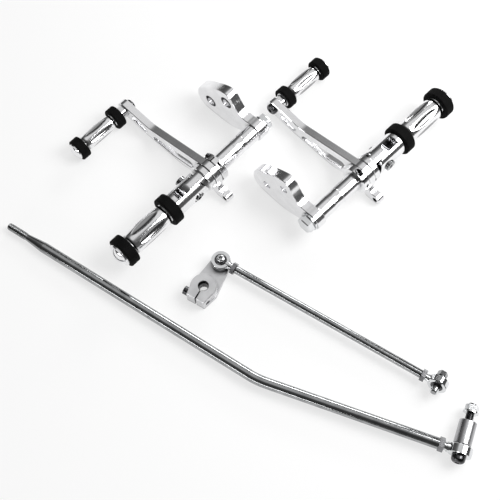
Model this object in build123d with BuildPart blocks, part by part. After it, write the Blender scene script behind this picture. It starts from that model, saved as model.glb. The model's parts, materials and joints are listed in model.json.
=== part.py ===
from build123d import *
import math
import os

os.makedirs("parts", exist_ok=True)

# A set of forward controls for a motorcycle, laid out flat: a left (shift) control, a right (brake)
# control, a long brake rod and a short shift rod with its clamp lever. Millimetres, +Z up, the
# table is Z = 0 and the origin is below the middle of the layout.
# Each control is modelled in its own frame: X runs outward along the shaft, Y runs forward to the
# toe peg, Z is up, and the origin is on the shaft's axis in the middle of the pedal arm.

# fits
RUNNING_GAP = 0.05
SIDE_PLAY = 0.3
SEAT_GAP = 0.02
EDGE_BREAK = 0.6
BORE_TAIL = 1.0

# layout on the table
SHAFT_HEIGHT = 29.0
LAYOUT_MIDDLE = (-18.91, 2.66)
RIGHT_SPOT = (131.5, 85.4)
RIGHT_TURN = 44.6
LEFT_SPOT = (-47.7, 87.0)
LEFT_TURN = 226.8
SHIFT_EYE_SPOT = (-33.5, -19.0)
SHIFT_TURN = -31.2
BRAKE_EYE_FROM_SHIFT_EYE = (17.45, -73.19)
BRAKE_TURN = 160.0
LEVER_TURN = 60.0

# shaft
SHAFT_DIAMETER = 22.0
BAR_LENGTH = 60.6
WAIST_DIAMETER = 18.0
WAIST_LENGTH = 11.0
WAIST_TO_COLLAR = 29.0
FLANGE_DIAMETER = 35.0
FLANGE_WIDTH = 8.5
FLANGE_CHAMFER = 1.0
TONGUE_DIAMETER = 29.0
TONGUE_WIDTH = 12.2
PIN_TO_FLANGE = 18.2
HEEL_DEPTH = 4.0

# mount plate, hex bolt and washer
PLATE_THICKNESS = 12.7
PLATE_BOSS_RADIUS = 13.5
PLATE_SPAN = 93.0
PLATE_PEAK_SHARE = 0.473
PLATE_PEAK_HEIGHT = 38.0
PLATE_PEAK_RADIUS = 11.0
PLATE_SCOOP_SHARE = 0.28
PLATE_SCOOP_HEIGHT = 17.0
PLATE_FAR_TOP = 6.0
PLATE_FAR_LEAN = 3.0
PLATE_FAR_RADIUS = 9.0
PLATE_FOOT_SHARE = 0.3
PLATE_FOOT_RADIUS = 6.0
PLATE_BOSS_UNDERCUT = (4.0, 1.0)
PLATE_HOLES_SHARE = 0.615
PLATE_HOLES_HEIGHT = 5.2
PLATE_HOLE_SPACING = 36.2
PLATE_HOLE_ANGLE = 137.0
PLATE_HOLE_DIAMETER = 10.5
PLATE_BORE_DIAMETER = 16.5
PLATE_BORE_DEPTH = 6.0
BOLT_DIAMETER = 12.7
BOLT_GRIP_IN_SHAFT = 18.0
BOLT_HEAD_FLATS = 19.0
BOLT_HEAD_HEIGHT = 8.1
BOLT_HEAD_CHAMFER = 1.0
WASHER_DIAMETER = 24.0
WASHER_THICKNESS = 2.5

# clamp collar
COLLAR_DIAMETER = 36.0
COLLAR_WIDTH = 9.0
COLLAR_SLIT = 1.6
COLLAR_SLIT_ANGLE = {"left": 82.0, "right": 132.0}
CLAMP_SCREW_DIAMETER = 4.0
CLAMP_HEAD_DIAMETER = 7.0
CLAMP_HEAD_HEIGHT = 4.0
CLAMP_HEAD_SEAT = 6.5

# pedal arm
ARM_THICKNESS = 9.5
ARM_LENGTH = 142.9
HUB_DIAMETER = 35.0
BUSHING_WALL = 2.0
TOE_END_RADIUS = 10.5
HUB_UNDERCUT = 2.0
ELBOW_SHARE = 0.693
ELBOW_HEIGHT = -8.3
ELBOW_RADIUS_SHARE = 0.28
BELLY_START_SHARE = 0.28
BELLY_START_RADIUS_SHARE = 0.21
BELLY_END_SHARE = 0.728
BELLY_END_RADIUS_SHARE = 0.42
LONG_SLOT = [(0.154, -0.5), (0.623, -18.2), (0.658, -24.4), (0.392, -23.8), (0.168, -15.0)]
LONG_SLOT_RADII = [5.0, 2.4, 1.2, 30.0, 5.0]
SHORT_SLOT_SHARE = 0.8146
SHORT_SLOT_MIDDLE_HEIGHT = -18.0
SHORT_SLOT_LENGTH_SHARE = 0.1917
SHORT_SLOT_HEIGHT = 7.5
SHORT_SLOT_ANGLE = 13.1
EAR_HOLE_REACH = 28.5
EAR_HOLE_DIAMETER = 6.5
EAR_RADIUS = 6.6
EAR_FOOT_REACH = 16.0
EAR_ROOT = (4.0, 1.0)
EAR_THROAT_RADIUS = 4.5

# foot peg
FORK_DIAMETER = 30.0
SLOT_DEPTH = 22.8
PEG_FLANGE_WIDTH = 5.7
FOOT_CORE_DIAMETER = 26.0
FOOT_BARREL_DIAMETER = 29.0
FOOT_BARREL_LENGTH = 57.5
FOOT_RING_DIAMETER = 38.1
FOOT_RING_WIDTH = 13.0
FOOT_FLUTE_DEPTH = 2.4
FOOT_FLUTE_WIDTH = 11.0
FOOT_CAP_DIAMETER = 30.0
FOOT_CAP_LENGTH = 8.3
PIN_DIAMETER = 8.0
PIN_HEAD_DIAMETER = 13.5
PIN_HEAD_HEIGHT = 4.5
PIN_SEAT = 13.2
PIN_TAIL = 15.5
PIN_SOCKET_FLATS = 5.0
PIN_HEAD_SIDE = {"left": 1, "right": -1}

# toe peg
TOE_SPACER_DIAMETER = 16.0
TOE_SPACER_FLATS = 14.0
TOE_SPACER_LENGTH = 8.4
TOE_CORE_DIAMETER = 18.5
TOE_BARREL_DIAMETER = 20.5
TOE_BARREL_LENGTH = 47.5
TOE_RING_DIAMETER = 27.7
TOE_RING_WIDTH = 11.5
TOE_FLUTE_DEPTH = 1.7
TOE_FLUTE_WIDTH = 8.0
TOE_CAP_DIAMETER = 21.5
TOE_CAP_LENGTH = 5.5
TOE_SCREW_DIAMETER = 8.0
TOE_SCREW_HEAD_DIAMETER = 14.0
TOE_SCREW_HEAD_HEIGHT = 4.4
TOE_SCREW_ROUNDING = 2.6
TOE_SCREW_GRIP = 20.0
FLUTES = 6
FLUTE_RUN_SHARE = 0.4

# brake rod
BRAKE_ROD_DIAMETER = 12.7
BRAKE_FRONT_RUN = 227.4
BRAKE_REAR_RUN = 294.0
BRAKE_BEND = 12.7
BRAKE_BEND_RADIUS = 90.0
BRAKE_TAPER_LENGTH = 23.0
BRAKE_STUB_DIAMETER = 7.9
BRAKE_STUB_LENGTH = 28.0
BRAKE_THREAD = 9.5
BRAKE_EYE_DIAMETER = 25.4
BRAKE_EYE_WIDTH = 10.3
BRAKE_BALL_DIAMETER = 18.3
BRAKE_BALL_WIDTH = 12.7
BRAKE_NUT_FLATS = 14.3
BRAKE_NUT_THICKNESS = 5.6
BRAKE_NUT_TO_EYE = 17.9
BRAKE_BOLT_DIAMETER = 8.0
BRAKE_HEAD_DIAMETER = 15.0
BRAKE_HEAD_HEIGHT = 7.0
BRAKE_HEAD_ROUNDING = 4.5
BRAKE_SOCKET_FLATS = 5.0
BRAKE_SPACER_DIAMETER = 19.0
BRAKE_SPACER_LENGTH = 27.0
BRAKE_BARE_BOLT = 9.5
FLANGE_NUT_FLATS = 12.7
FLANGE_NUT_DIAMETER = 17.0
FLANGE_NUT_HEIGHT = 8.5
BRAKE_BOLT_TAIL = 2.0

# rod ends
EYE_NECK_SHARE = 1.2
EYE_NECK_RUN = 1.5
EYE_MOUTH_SHARE = 0.8

# shift rod and clamp lever
SHIFT_ROD_DIAMETER = 9.5
SHIFT_EYE_SPACING = 277.6
SHIFT_THREAD = 7.9
SHIFT_EYE_DIAMETER = 22.2
SHIFT_EYE_WIDTH = 8.7
SHIFT_BALL_DIAMETER = 16.6
SHIFT_BALL_WIDTH = 11.1
SHIFT_NUT_FLATS = 12.7
SHIFT_NUT_THICKNESS = 4.8
SHIFT_NUT_TO_EYE = 15.2
SHIFT_BOLT_DIAMETER = 6.0
FRONT_EYE_ROLL = 75.0
FRONT_HEX_FLATS = 10.0
FRONT_HEX_HEIGHT = 5.6
FRONT_SPACER_DIAMETER = 9.0
FRONT_SPACER_LENGTH = 4.0
FRONT_NUT_DIAMETER = 9.0
FRONT_NUT_LENGTH = 7.0
FRONT_BOLT_TAIL = 1.0
STUD_HEAD_DIAMETER = 9.0
STUD_HEAD_HEIGHT = 4.4
STUD_HEAD_ROUNDING = 2.2
STUD_SOCKET_FLATS = 4.0
LEVER_LENGTH = 38.0
LEVER_BORE_DIAMETER = 12.7
LEVER_BOSS_THICKNESS = 19.0
LEVER_TAB_THICKNESS = 6.35
LEVER_HALF_WIDTH = 16.2
LEVER_BOSS_RADIUS = 15.0
LEVER_TIP_RADIUS = 11.5
LEVER_END = 18.0
LEVER_END_HALF_WIDTH = 11.4
LEVER_SLIT = 1.8
PINCH_DIAMETER = 6.0
PINCH_HEAD_DIAMETER = 10.0
PINCH_HEAD_HEIGHT = 7.0
PINCH_TO_BORE = 12.0

# places along the shaft
arm_inner = -ARM_THICKNESS / 2
arm_outer = ARM_THICKNESS / 2
flange_inner = arm_outer + SIDE_PLAY
flange_outer = flange_inner + FLANGE_WIDTH
pin_x = flange_outer + PIN_TO_FLANGE
slot_end = pin_x + SLOT_DEPTH
inner_ring_x = slot_end + PEG_FLANGE_WIDTH
barrel_x = inner_ring_x + FOOT_RING_WIDTH
outer_ring_x = barrel_x + FOOT_BARREL_LENGTH
foot_cap_x = outer_ring_x + FOOT_RING_WIDTH
collar_outer = arm_inner - SIDE_PLAY
collar_inner = collar_outer - COLLAR_WIDTH
plate_outer = collar_inner - BAR_LENGTH
plate_inner = plate_outer - PLATE_THICKNESS
washer_inner = plate_inner - WASHER_THICKNESS
shaft_radius = SHAFT_DIAMETER / 2
bushing_radius = shaft_radius + RUNNING_GAP + BUSHING_WALL

# places of the toe peg; its rings rest on the table
toe_axis_z = TOE_RING_DIAMETER / 2 - SHAFT_HEIGHT
toe_axis = Axis((0, ARM_LENGTH, toe_axis_z), (1, 0, 0))
toe_inner_ring_x = arm_outer + TOE_SPACER_LENGTH
toe_barrel_x = toe_inner_ring_x + TOE_RING_WIDTH
toe_outer_ring_x = toe_barrel_x + TOE_BARREL_LENGTH
toe_cap_x = toe_outer_ring_x + TOE_RING_WIDTH
toe_hole_end = arm_outer + TOE_SCREW_GRIP + BORE_TAIL

# places on the table
belly_z = -SHAFT_HEIGHT
ear_hole = (-EAR_HOLE_REACH, belly_z + EAR_RADIUS)
eye_height = LEVER_TAB_THICKNESS + SHIFT_BALL_WIDTH / 2
brake_pitch = math.degrees(math.asin((BRAKE_EYE_DIAMETER - BRAKE_ROD_DIAMETER) / 2
                                     / (BRAKE_FRONT_RUN + BRAKE_REAR_RUN)))

shift_direction = math.radians(SHIFT_TURN)
shift_front_x = SHIFT_EYE_SPOT[0] + SHIFT_EYE_SPACING * math.cos(shift_direction)
shift_front_y = SHIFT_EYE_SPOT[1] + SHIFT_EYE_SPACING * math.sin(shift_direction)
brake_eye_spot = (shift_front_x + BRAKE_EYE_FROM_SHIFT_EYE[0], shift_front_y + BRAKE_EYE_FROM_SHIFT_EYE[1])


def spot(point, height):
    """A point of the layout, measured from the middle of the set."""
    return (point[0] - LAYOUT_MIDDLE[0], point[1] - LAYOUT_MIDDLE[1], height)


RIGHT_PLACE = Location(spot(RIGHT_SPOT, SHAFT_HEIGHT), (0, 0, RIGHT_TURN))
LEFT_PLACE = Location(spot(LEFT_SPOT, SHAFT_HEIGHT), (0, 0, LEFT_TURN))
BRAKE_PLACE = (Location(spot(brake_eye_spot, BRAKE_EYE_DIAMETER / 2), (0, 0, BRAKE_TURN))
               * Rot(0, brake_pitch, 0))
SHIFT_PLACE = Location(spot(SHIFT_EYE_SPOT, eye_height), (0, 0, SHIFT_TURN))
LEVER_PLACE = Location(spot(SHIFT_EYE_SPOT, 0), (0, 0, LEVER_TURN)) * Pos(-LEVER_LENGTH, 0, 0)


def save(part, name):
    part.label = name
    export_step(part, f"parts/{name}.step")


def save_control(part, side, name):
    """Write one piece of a control where it lies; the left control mirrors the right one."""
    if side == "left":
        placed = LEFT_PLACE * mirror(part, about=Plane.XZ)
    else:
        placed = RIGHT_PLACE * part
    save(placed, f"{side}_{name}")


def make_mount_plate():
    """Leaf-shaped plate that bolts to the frame; the shaft meets its rounded end."""
    half_spacing = PLATE_HOLE_SPACING / 2
    turn = math.radians(PLATE_HOLE_ANGLE)
    middle_y = PLATE_HOLES_SHARE * PLATE_SPAN
    middle_z = PLATE_HOLES_HEIGHT
    undercut_y, undercut_z = PLATE_BOSS_UNDERCUT
    step_y = half_spacing * math.cos(turn)
    step_z = half_spacing * math.sin(turn)
    holes = [(middle_y + step_y, middle_z + step_z), (middle_y - step_y, middle_z - step_z)]
    with BuildPart(Plane.YZ.offset(plate_outer)) as plate:
        with BuildSketch(Plane.YZ.offset(plate_outer)):
            with BuildLine():
                Polyline((0, PLATE_BOSS_RADIUS), (PLATE_SCOOP_SHARE * PLATE_SPAN, PLATE_SCOOP_HEIGHT),
                         (PLATE_PEAK_SHARE * PLATE_SPAN, PLATE_PEAK_HEIGHT),
                         (PLATE_SPAN - PLATE_FAR_LEAN, PLATE_FAR_TOP), (PLATE_SPAN, belly_z),
                         (PLATE_FOOT_SHARE * PLATE_SPAN, belly_z),
                         (-undercut_y, undercut_z - PLATE_BOSS_RADIUS), close=True)
            make_face()
            Circle(PLATE_BOSS_RADIUS)
            fillet(vertices().sort_by(Axis.X)[-1], PLATE_FOOT_RADIUS)
            fillet(vertices().sort_by(Axis.X)[-1], PLATE_FAR_RADIUS)
            fillet(vertices().sort_by(Axis.Y)[-1], PLATE_PEAK_RADIUS)
        extrude(amount=-PLATE_THICKNESS)
        chamfer(plate.faces().filter_by(Axis.X).edges(), EDGE_BREAK)
        with Locations(*holes):
            CounterBoreHole(PLATE_HOLE_DIAMETER / 2, PLATE_BORE_DIAMETER / 2, PLATE_BORE_DEPTH)
        Hole(BOLT_DIAMETER / 2 + 2 * RUNNING_GAP)
    return plate.part


def make_hex_bolt():
    """Bolt through the mount plate into the shaft's end."""
    with BuildPart() as bolt:
        with BuildSketch(Plane.YZ.offset(washer_inner)):
            RegularPolygon(BOLT_HEAD_FLATS / 2, 6, major_radius=False)
        extrude(amount=-BOLT_HEAD_HEIGHT)
        chamfer(bolt.faces().sort_by(Axis.X)[0].edges(), BOLT_HEAD_CHAMFER)
        with BuildSketch(Plane.YZ.offset(washer_inner)):
            Circle(BOLT_DIAMETER / 2)
        extrude(amount=WASHER_THICKNESS + PLATE_THICKNESS + BOLT_GRIP_IN_SHAFT)
    return bolt.part


def make_washer():
    with BuildPart() as washer:
        with BuildSketch(Plane.YZ.offset(plate_inner)):
            Circle(WASHER_DIAMETER / 2)
            Circle(BOLT_DIAMETER / 2 + RUNNING_GAP, mode=Mode.SUBTRACT)
        extrude(amount=-WASHER_THICKNESS)
    return washer.part


def make_shaft():
    """Turned bar with a waist, the flange disc that carries the arm and the tongue of the fold."""
    tongue_radius = TONGUE_DIAMETER / 2
    waist_start = collar_inner - WAIST_TO_COLLAR
    waist_end = waist_start - WAIST_LENGTH
    waist_radius = WAIST_DIAMETER / 2
    taper = shaft_radius - waist_radius
    with BuildPart() as shaft:
        with BuildSketch(Plane.XZ):
            with Locations((pin_x, 0)):
                Circle(tongue_radius)
                Rectangle(PIN_TO_FLANGE, TONGUE_DIAMETER, align=(Align.MAX, Align.CENTER))
            with Locations((pin_x, -tongue_radius)):
                Rectangle(SLOT_DEPTH - SIDE_PLAY, tongue_radius - HEEL_DEPTH,
                          align=(Align.MIN, Align.MIN))
        extrude(amount=TONGUE_WIDTH / 2, both=True)
        with BuildSketch(Plane.YZ.offset(flange_outer)):
            Circle(tongue_radius)
        extrude(amount=PIN_TO_FLANGE + SLOT_DEPTH, mode=Mode.INTERSECT)
        with BuildSketch(Plane.XY):
            with BuildLine():
                Polyline((plate_outer, 0), (plate_outer, shaft_radius), (waist_end - taper, shaft_radius),
                         (waist_end, waist_radius), (waist_start, waist_radius),
                         (waist_start + taper, shaft_radius), (flange_inner, shaft_radius),
                         (flange_inner, FLANGE_DIAMETER / 2), (flange_outer, FLANGE_DIAMETER / 2),
                         (flange_outer, 0), close=True)
            make_face()
        revolve(axis=Axis.X)
        rim = shaft.edges().filter_by(GeomType.CIRCLE).filter_by(
            lambda edge: abs(edge.radius - FLANGE_DIAMETER / 2) < 0.01)
        chamfer(rim, FLANGE_CHAMFER)
        with BuildSketch(Plane.XZ):
            with Locations((pin_x, 0)):
                Circle(PIN_DIAMETER / 2 + RUNNING_GAP)
        extrude(amount=TONGUE_WIDTH, both=True, mode=Mode.SUBTRACT)
        with BuildSketch(Plane.YZ.offset(plate_outer)):
            Circle(BOLT_DIAMETER / 2 + SEAT_GAP)
        extrude(amount=BOLT_GRIP_IN_SHAFT + BORE_TAIL, mode=Mode.SUBTRACT)
    return shaft.part


def collar_plane(side):
    """Plane across the shaft in the middle of the collar, its x axis through the slit."""
    turn = math.radians(COLLAR_SLIT_ANGLE[side])
    middle = (collar_inner + collar_outer) / 2
    return Plane(origin=(middle, 0, 0), x_dir=(0, math.cos(turn), math.sin(turn)), z_dir=(1, 0, 0))


def screw_plane(side, distance):
    """Plane across the clamp screw, distance from the slit towards the screw's head."""
    wall_middle = (shaft_radius + COLLAR_DIAMETER / 2) / 2
    across = collar_plane(side)
    origin = across.from_local_coords(Vector(wall_middle, -distance, 0))
    return Plane(origin=origin, x_dir=(1, 0, 0), z_dir=-across.y_dir)


def make_clamp_collar(side):
    across = collar_plane(side)
    with BuildPart() as collar:
        with BuildSketch(across):
            Circle(COLLAR_DIAMETER / 2)
            Circle(shaft_radius + SEAT_GAP, mode=Mode.SUBTRACT)
            Rectangle(COLLAR_DIAMETER, COLLAR_SLIT, align=(Align.MIN, Align.CENTER), mode=Mode.SUBTRACT)
        extrude(amount=COLLAR_WIDTH / 2, both=True)
        rims = collar.edges().filter_by(GeomType.CIRCLE).filter_by(
            lambda edge: abs(edge.radius - COLLAR_DIAMETER / 2) < 0.01)
        chamfer(rims, EDGE_BREAK)
        with BuildSketch(screw_plane(side, -COLLAR_DIAMETER / 2)):
            Circle(CLAMP_SCREW_DIAMETER / 2 + RUNNING_GAP)
        extrude(amount=COLLAR_DIAMETER, mode=Mode.SUBTRACT)
        with BuildSketch(screw_plane(side, CLAMP_HEAD_SEAT)):
            Circle(CLAMP_HEAD_DIAMETER / 2 + SIDE_PLAY)
        extrude(amount=COLLAR_DIAMETER / 2, mode=Mode.SUBTRACT)
    return collar.part


def make_collar_screw(side):
    with BuildPart() as screw:
        with BuildSketch(screw_plane(side, CLAMP_HEAD_SEAT)):
            Circle(CLAMP_HEAD_DIAMETER / 2)
        extrude(amount=CLAMP_HEAD_HEIGHT)
        with BuildSketch(screw_plane(side, CLAMP_HEAD_SEAT)):
            Circle(CLAMP_SCREW_DIAMETER / 2)
        extrude(amount=-2 * CLAMP_HEAD_SEAT)
        with BuildSketch(screw_plane(side, CLAMP_HEAD_SEAT + CLAMP_HEAD_HEIGHT)):
            RegularPolygon(CLAMP_HEAD_DIAMETER / 4, 6, major_radius=False)
        extrude(amount=-CLAMP_HEAD_HEIGHT / 2, mode=Mode.SUBTRACT)
    return screw.part


def make_pedal_arm():
    """Flat blade from the hub to the toe peg, with two slots and the ear for the linkage."""
    hub_radius = HUB_DIAMETER / 2
    toe_top = toe_axis_z + TOE_END_RADIUS
    toe_bottom = toe_axis_z - TOE_END_RADIUS
    elbow = (ELBOW_SHARE * ARM_LENGTH, ELBOW_HEIGHT)
    belly_start = (BELLY_START_SHARE * ARM_LENGTH, belly_z)
    belly_end = (BELLY_END_SHARE * ARM_LENGTH, belly_z)
    ear_y, ear_z = ear_hole
    ear_top = ear_z + EAR_RADIUS
    root_y, root_z = EAR_ROOT
    short_slot = (SHORT_SLOT_SHARE * ARM_LENGTH, SHORT_SLOT_MIDDLE_HEIGHT)
    long_slot = [(share * ARM_LENGTH, height) for share, height in LONG_SLOT]
    with BuildPart(Plane.YZ.offset(arm_outer)) as arm:
        with BuildSketch(Plane.YZ.offset(arm_inner)):
            with BuildLine():
                Polyline((0, hub_radius), elbow, (ARM_LENGTH, toe_top), (ARM_LENGTH, toe_bottom),
                         belly_end, belly_start, (0, HUB_UNDERCUT - hub_radius), close=True)
            make_face()
            fillet(vertices().sort_by_distance(elbow)[0], ELBOW_RADIUS_SHARE * ARM_LENGTH)
            fillet(vertices().sort_by_distance(belly_end)[0], BELLY_END_RADIUS_SHARE * ARM_LENGTH)
            fillet(vertices().sort_by_distance(belly_start)[0], BELLY_START_RADIUS_SHARE * ARM_LENGTH)
            Circle(hub_radius)
            with Locations((ARM_LENGTH, toe_axis_z)):
                Circle(TOE_END_RADIUS)
            with BuildLine():
                Polyline((root_y, 0), (-hub_radius, 0), (-hub_radius, ear_top), (ear_y, ear_top),
                         (ear_y, belly_z), (-EAR_FOOT_REACH, belly_z), (root_y, root_z - hub_radius),
                         close=True)
            make_face()
            with Locations(ear_hole):
                Circle(EAR_RADIUS)
            fillet(vertices().sort_by_distance((-hub_radius, ear_top))[0], EAR_THROAT_RADIUS)
            with BuildLine():
                Polyline(*long_slot, close=True)
            make_face(mode=Mode.SUBTRACT)
            for corner, radius in zip(long_slot, LONG_SLOT_RADII):
                fillet(vertices().sort_by_distance(corner)[0], radius)
            with Locations(Location(short_slot, SHORT_SLOT_ANGLE)):
                SlotOverall(SHORT_SLOT_LENGTH_SHARE * ARM_LENGTH, SHORT_SLOT_HEIGHT, mode=Mode.SUBTRACT)
        extrude(amount=ARM_THICKNESS)
        chamfer(arm.faces().filter_by(Axis.X).edges(), EDGE_BREAK)
        Hole(bushing_radius + SEAT_GAP)
        with Locations((ARM_LENGTH, toe_axis_z)):
            Hole(TOE_SCREW_DIAMETER / 2 + RUNNING_GAP)
        with Locations(ear_hole):
            Hole(EAR_HOLE_DIAMETER / 2)
    return arm.part


def make_pedal_bushing():
    with BuildPart() as bushing:
        with BuildSketch(Plane.YZ.offset(arm_inner)):
            Circle(bushing_radius)
            Circle(shaft_radius + RUNNING_GAP, mode=Mode.SUBTRACT)
        extrude(amount=ARM_THICKNESS)
    return bushing.part


def make_flute_cutter(start, length, radius, depth, width):
    """Cutter for the scooped flutes round a barrel on the X axis: thin rings that bow inward."""
    middle_x = start + length / 2
    tube = (width ** 2 / 4 + depth ** 2) / (2 * depth)
    bow = (FLUTE_RUN_SHARE * length) ** 2 / (2 * depth)
    half_sweep = math.degrees(length / 2 / bow)
    with BuildPart() as cutter:
        for turn in range(FLUTES):
            angle = math.radians(turn * 360 / FLUTES)
            outward = Vector(0, math.cos(angle), math.sin(angle))
            sideways = Vector(0, -math.sin(angle), math.cos(angle))
            middle = Vector(middle_x, 0, 0) + outward * (radius - depth + tube)
            pivot = middle + outward * (bow - tube)
            for direction in (1, -1):
                with BuildSketch(Plane(origin=middle, x_dir=outward, z_dir=(1, 0, 0))):
                    Circle(tube)
                revolve(axis=Axis(pivot, sideways * direction), revolution_arc=half_sweep)
    return cutter.part


def make_foot_peg():
    """Fork, flange and scooped barrel of the folding foot peg."""
    fork_radius = FORK_DIAMETER / 2
    core_radius = FOOT_CORE_DIAMETER / 2
    barrel_radius = FOOT_BARREL_DIAMETER / 2
    barrel_middle = barrel_x + FOOT_BARREL_LENGTH / 2
    with BuildPart() as peg:
        with BuildSketch(Plane.XZ):
            with Locations((pin_x, 0)):
                Circle(fork_radius)
                Rectangle(SLOT_DEPTH, FORK_DIAMETER, align=(Align.MIN, Align.CENTER))
        extrude(amount=fork_radius, both=True)
        with BuildSketch(Plane.YZ.offset(pin_x - fork_radius)):
            Circle(fork_radius)
        extrude(amount=SLOT_DEPTH + fork_radius, mode=Mode.INTERSECT)
        with BuildSketch(Plane.XZ):
            with Locations((slot_end, 0)):
                Rectangle(SLOT_DEPTH + FORK_DIAMETER, 2 * FORK_DIAMETER, align=(Align.MAX, Align.CENTER))
        extrude(amount=TONGUE_WIDTH / 2 + SIDE_PLAY / 2, both=True, mode=Mode.SUBTRACT)
        with BuildSketch(Plane.XY):
            with BuildLine():
                Polyline((barrel_x, core_radius), (inner_ring_x, core_radius), (inner_ring_x, fork_radius),
                         (slot_end, fork_radius), (slot_end, 0), (foot_cap_x, 0),
                         (foot_cap_x, core_radius), (outer_ring_x, core_radius))
                ThreePointArc((outer_ring_x, core_radius), (barrel_middle, barrel_radius),
                              (barrel_x, core_radius))
            make_face()
        revolve(axis=Axis.X)
        add(make_flute_cutter(barrel_x, FOOT_BARREL_LENGTH, barrel_radius, FOOT_FLUTE_DEPTH,
                              FOOT_FLUTE_WIDTH), mode=Mode.SUBTRACT)
        for head_side in (1, -1):
            with BuildSketch(Plane.XZ.offset(-head_side * PIN_SEAT)):
                with Locations((pin_x, 0)):
                    Circle(PIN_HEAD_DIAMETER / 2 + SIDE_PLAY)
            extrude(amount=-head_side * fork_radius, mode=Mode.SUBTRACT)
        with BuildSketch(Plane.XZ):
            with Locations((pin_x, 0)):
                Circle(PIN_DIAMETER / 2 + SEAT_GAP)
        extrude(amount=fork_radius, both=True, mode=Mode.SUBTRACT)
    return peg.part


def make_rings(axis, starts, width, outer_radius, inner_radius):
    """A pair of rubber rings on one peg, with rounded rims."""
    with BuildPart() as rings:
        for start in starts:
            with BuildSketch(Plane.YZ.offset(start)):
                with Locations((axis.position.Y, axis.position.Z)):
                    Circle(outer_radius)
                    Circle(inner_radius, mode=Mode.SUBTRACT)
            extrude(amount=width)
        rims = rings.edges().filter_by(GeomType.CIRCLE).filter_by(
            lambda edge: abs(edge.radius - outer_radius) < 0.01)
        fillet(rims, width / 8)
    return rings.part


def make_cap(axis, start, diameter, length):
    """Stepped cap with a domed face on the end of a peg."""
    radius = diameter / 2
    step = length / 3
    rim = radius - step
    dome = length - step
    sphere = (rim ** 2 + dome ** 2) / (2 * dome)
    half_turn = math.asin(rim / sphere) / 2
    dome_middle = (start + length - sphere + sphere * math.cos(half_turn), sphere * math.sin(half_turn))
    y = axis.position.Y
    z = axis.position.Z
    with BuildPart() as cap:
        with BuildSketch(Plane(origin=(0, y, z), x_dir=(1, 0, 0), z_dir=(0, 0, 1))):
            with BuildLine():
                Polyline((start + length, 0), (start, 0), (start, radius), (start + step, radius),
                         (start + step, rim))
                ThreePointArc((start + step, rim), dome_middle, (start + length, 0))
            make_face()
        revolve(axis=axis)
    return cap.part


def make_fold_pin(side):
    """Socket-head pin of the fold; it turns with the peg."""
    head_side = PIN_HEAD_SIDE[side]
    with BuildPart() as pin:
        with BuildSketch(Plane.XZ.offset(-head_side * PIN_SEAT)):
            with Locations((pin_x, 0)):
                Circle(PIN_HEAD_DIAMETER / 2)
        extrude(amount=-head_side * PIN_HEAD_HEIGHT)
        with BuildSketch(Plane.XZ.offset(-head_side * PIN_SEAT)):
            with Locations((pin_x, 0)):
                Circle(PIN_DIAMETER / 2)
        extrude(amount=head_side * (PIN_SEAT + PIN_TAIL))
        for face_y in (head_side * (PIN_SEAT + PIN_HEAD_HEIGHT), -head_side * PIN_TAIL):
            with BuildSketch(Plane.XZ.offset(-face_y)):
                with Locations((pin_x, 0)):
                    RegularPolygon(PIN_SOCKET_FLATS / 2, 6, major_radius=False)
            inward = 1 if face_y > 0 else -1
            extrude(amount=inward * PIN_HEAD_HEIGHT / 2, mode=Mode.SUBTRACT)
    return pin.part


def make_toe_peg():
    """Toe peg: spacer with wrench flats, ring seats and a scooped barrel."""
    core_radius = TOE_CORE_DIAMETER / 2
    barrel_radius = TOE_BARREL_DIAMETER / 2
    spacer_radius = TOE_SPACER_DIAMETER / 2
    barrel_middle = toe_barrel_x + TOE_BARREL_LENGTH / 2
    side_plane = Plane(origin=(0, ARM_LENGTH, toe_axis_z), x_dir=(1, 0, 0), z_dir=(0, 0, 1))
    with BuildPart() as peg:
        with BuildSketch(Plane.YZ.offset(arm_outer)):
            with Locations((ARM_LENGTH, toe_axis_z)):
                Circle(spacer_radius)
                Rectangle(TOE_SPACER_DIAMETER, TOE_SPACER_FLATS, mode=Mode.INTERSECT)
        extrude(amount=TOE_SPACER_LENGTH)
        with BuildSketch(side_plane):
            with BuildLine():
                Polyline((toe_barrel_x, core_radius), (toe_inner_ring_x, core_radius),
                         (toe_inner_ring_x, 0), (toe_cap_x, 0), (toe_cap_x, core_radius),
                         (toe_outer_ring_x, core_radius))
                ThreePointArc((toe_outer_ring_x, core_radius), (barrel_middle, barrel_radius),
                              (toe_barrel_x, core_radius))
            make_face()
        revolve(axis=toe_axis)
        flutes = make_flute_cutter(toe_barrel_x, TOE_BARREL_LENGTH, barrel_radius, TOE_FLUTE_DEPTH,
                                   TOE_FLUTE_WIDTH)
        add(Pos(0, ARM_LENGTH, toe_axis_z) * flutes, mode=Mode.SUBTRACT)
        with BuildSketch(Plane.YZ.offset(arm_outer)):
            with Locations((ARM_LENGTH, toe_axis_z)):
                Circle(TOE_SCREW_DIAMETER / 2 + SEAT_GAP)
        extrude(amount=toe_hole_end - arm_outer, mode=Mode.SUBTRACT)
    return peg.part


def make_toe_screw():
    """Button-head screw through the arm into the toe peg."""
    with BuildPart() as screw:
        with BuildSketch(Plane.YZ.offset(arm_inner)):
            with Locations((ARM_LENGTH, toe_axis_z)):
                Circle(TOE_SCREW_HEAD_DIAMETER / 2)
        extrude(amount=-TOE_SCREW_HEAD_HEIGHT)
        fillet(screw.faces().sort_by(Axis.X)[0].edges(), TOE_SCREW_ROUNDING)
        with BuildSketch(Plane.YZ.offset(arm_inner - TOE_SCREW_HEAD_HEIGHT)):
            with Locations((ARM_LENGTH, toe_axis_z)):
                RegularPolygon(PIN_SOCKET_FLATS / 2, 6, major_radius=False)
        extrude(amount=TOE_SCREW_HEAD_HEIGHT / 2, mode=Mode.SUBTRACT)
        with BuildSketch(Plane.YZ.offset(arm_inner)):
            with Locations((ARM_LENGTH, toe_axis_z)):
                Circle(TOE_SCREW_DIAMETER / 2)
        extrude(amount=ARM_THICKNESS + TOE_SCREW_GRIP)
    return screw.part


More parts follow.
